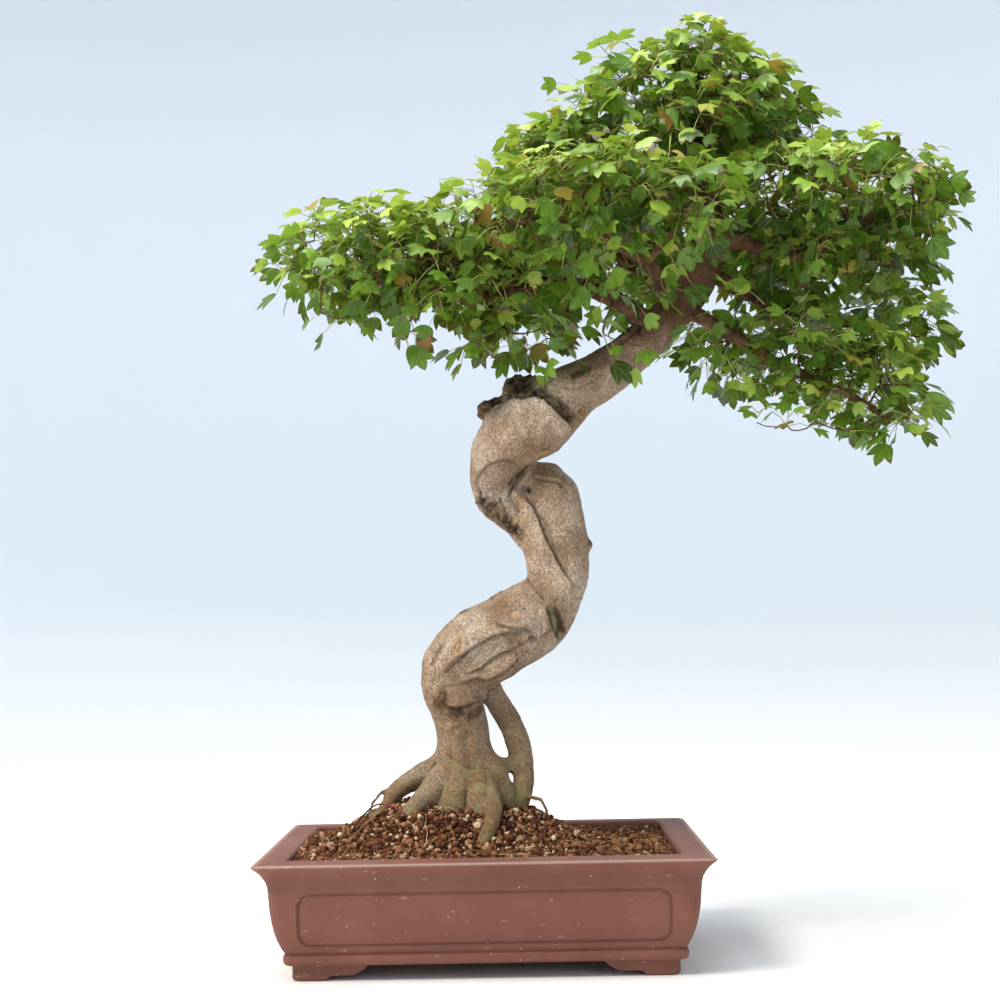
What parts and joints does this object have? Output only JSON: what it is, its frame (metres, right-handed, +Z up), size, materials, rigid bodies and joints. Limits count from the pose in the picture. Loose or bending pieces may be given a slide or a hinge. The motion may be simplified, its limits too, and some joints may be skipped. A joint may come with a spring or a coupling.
{
  "type": "bonsai tree in a pot",
  "caption": "Trained trident maple with a bare, twisting trunk and a clouded leafy crown, growing in a low rectangular stoneware pot on feet.",
  "frame": {"origin": "middle of the bottom of the whole plant's bounding box, on the ground; the pot's own middle is 160 mm to the left of it, because the crown leans right", "axes": "+X to the right along the pot's long side, +Y to the pot's back, +Z up"},
  "size_m": [0.8196, 0.459, 1.102],
  "materials": {
    "stoneware": "matte",
    "akadama": "matte",
    "bark": "matte",
    "branch_bark": "matte",
    "maple_leaf": "satin",
    "wire": "satin",
    "mesh_plastic": "matte"
  },
  "bodies": {
    "root": {"pot": "stoneware", "soil": "akadama", "trunk": "bark", "left_branch": "branch_bark", "left_branch_fork": "branch_bark", "front_branch": "branch_bark", "front_branch_fork": "branch_bark", "shoulder_branch": "branch_bark", "right_upper_branch": "branch_bark", "right_lower_branch": "branch_bark", "right_drooping_branch": "branch_bark", "back_left_branch": "branch_bark", "back_right_branch": "branch_bark", "foliage_left": "maple_leaf", "foliage_left_inner": "maple_leaf", "foliage_front": "maple_leaf", "foliage_shoulder": "maple_leaf", "foliage_apex": "maple_leaf", "foliage_right": "maple_leaf", "foliage_right_inner": "maple_leaf", "foliage_lower_right": "maple_leaf", "foliage_back_left": "maple_leaf", "foliage_back_right": "maple_leaf", "tie_wire": "wire", "drain_mesh_left": "mesh_plastic", "mesh_clip_left": "wire", "drain_mesh_right": "mesh_plastic", "mesh_clip_right": "wire"}
  },
  "joints": []
}
